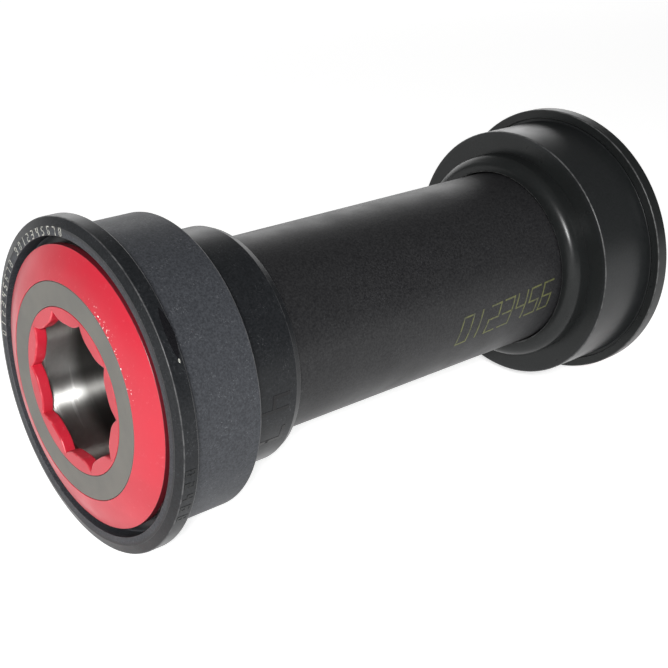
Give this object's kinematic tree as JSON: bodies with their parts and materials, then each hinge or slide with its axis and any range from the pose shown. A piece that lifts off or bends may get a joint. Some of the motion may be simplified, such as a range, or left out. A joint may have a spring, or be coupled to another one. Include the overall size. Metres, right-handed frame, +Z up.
{
  "type": "bottom bracket",
  "caption": "Press-fit bicycle bottom bracket: two flanged cups with sealed bearings and red dust shields, joined by a plain tube, for a stepped spindle.",
  "frame": {"origin": "middle of the spindle axis, half way between the two flange faces", "axes": "+X along the spindle axis towards the drive side, +Z up, +Y forwards"},
  "size_m": [0.0974, 0.045, 0.045],
  "materials": {
    "black_composite": "fine-grained glass-filled nylon, satin",
    "black_tube": "smooth satin plastic",
    "red_plastic": "smooth, half gloss",
    "grey_ring": "flat warm grey",
    "bearing_steel": "ground and polished",
    "cage_nylon": "natural nylon",
    "black_rubber": "matte"
  },
  "bodies": {
    "cups_and_tube": {"nds_cup": "black_composite", "ds_cup": "black_composite", "centre_tube": "black_tube", "nds_tube_o_ring": "black_rubber", "ds_tube_o_ring": "black_rubber", "nds_outer_race": "bearing_steel", "ds_outer_race": "bearing_steel", "nds_outboard_seal": "black_rubber", "nds_inboard_seal": "black_rubber", "ds_outboard_seal": "black_rubber", "ds_inboard_seal": "black_rubber"},
    "nds_rotor": {"nds_inner_race": "bearing_steel", "nds_dust_shield": "red_plastic", "nds_shield_ring": "grey_ring"},
    "nds_ball_set": {"nds_ball_cage": "cage_nylon", "nds_ball_01": "bearing_steel", "nds_ball_02": "bearing_steel", "nds_ball_03": "bearing_steel", "nds_ball_04": "bearing_steel", "nds_ball_05": "bearing_steel", "nds_ball_06": "bearing_steel", "nds_ball_07": "bearing_steel", "nds_ball_08": "bearing_steel", "nds_ball_09": "bearing_steel", "nds_ball_10": "bearing_steel", "nds_ball_11": "bearing_steel", "nds_ball_12": "bearing_steel", "nds_ball_13": "bearing_steel"},
    "ds_rotor": {"ds_inner_race": "bearing_steel", "ds_dust_shield": "red_plastic", "ds_shield_ring": "grey_ring"},
    "ds_ball_set": {"ds_ball_cage": "cage_nylon", "ds_ball_01": "bearing_steel", "ds_ball_02": "bearing_steel", "ds_ball_03": "bearing_steel", "ds_ball_04": "bearing_steel", "ds_ball_05": "bearing_steel", "ds_ball_06": "bearing_steel", "ds_ball_07": "bearing_steel", "ds_ball_08": "bearing_steel", "ds_ball_09": "bearing_steel", "ds_ball_10": "bearing_steel", "ds_ball_11": "bearing_steel", "ds_ball_12": "bearing_steel", "ds_ball_13": "bearing_steel", "ds_ball_14": "bearing_steel", "ds_ball_15": "bearing_steel"}
  },
  "joints": [
    {"name": "nds_bearing_spin", "type": "hinge", "parent": "cups_and_tube", "child": "nds_rotor", "pos_m": [-0.04095, 0, 0], "axis": [1, 0, 0], "continuous": true},
    {"name": "nds_cage_orbit", "type": "hinge", "parent": "cups_and_tube", "child": "nds_ball_set", "pos_m": [-0.04095, 0, 0], "axis": [1, 0, 0], "continuous": true},
    {"name": "ds_bearing_spin", "type": "hinge", "parent": "cups_and_tube", "child": "ds_rotor", "pos_m": [0.04145, 0, 0], "axis": [1, 0, 0], "continuous": true},
    {"name": "ds_cage_orbit", "type": "hinge", "parent": "cups_and_tube", "child": "ds_ball_set", "pos_m": [0.04145, 0, 0], "axis": [1, 0, 0], "continuous": true}
  ],
  "couplings": [
    {"joint": "nds_cage_orbit", "follows": "nds_bearing_spin", "ratio": 0.4327},
    {"joint": "ds_cage_orbit", "follows": "ds_bearing_spin", "ratio": 0.4426}
  ]
}
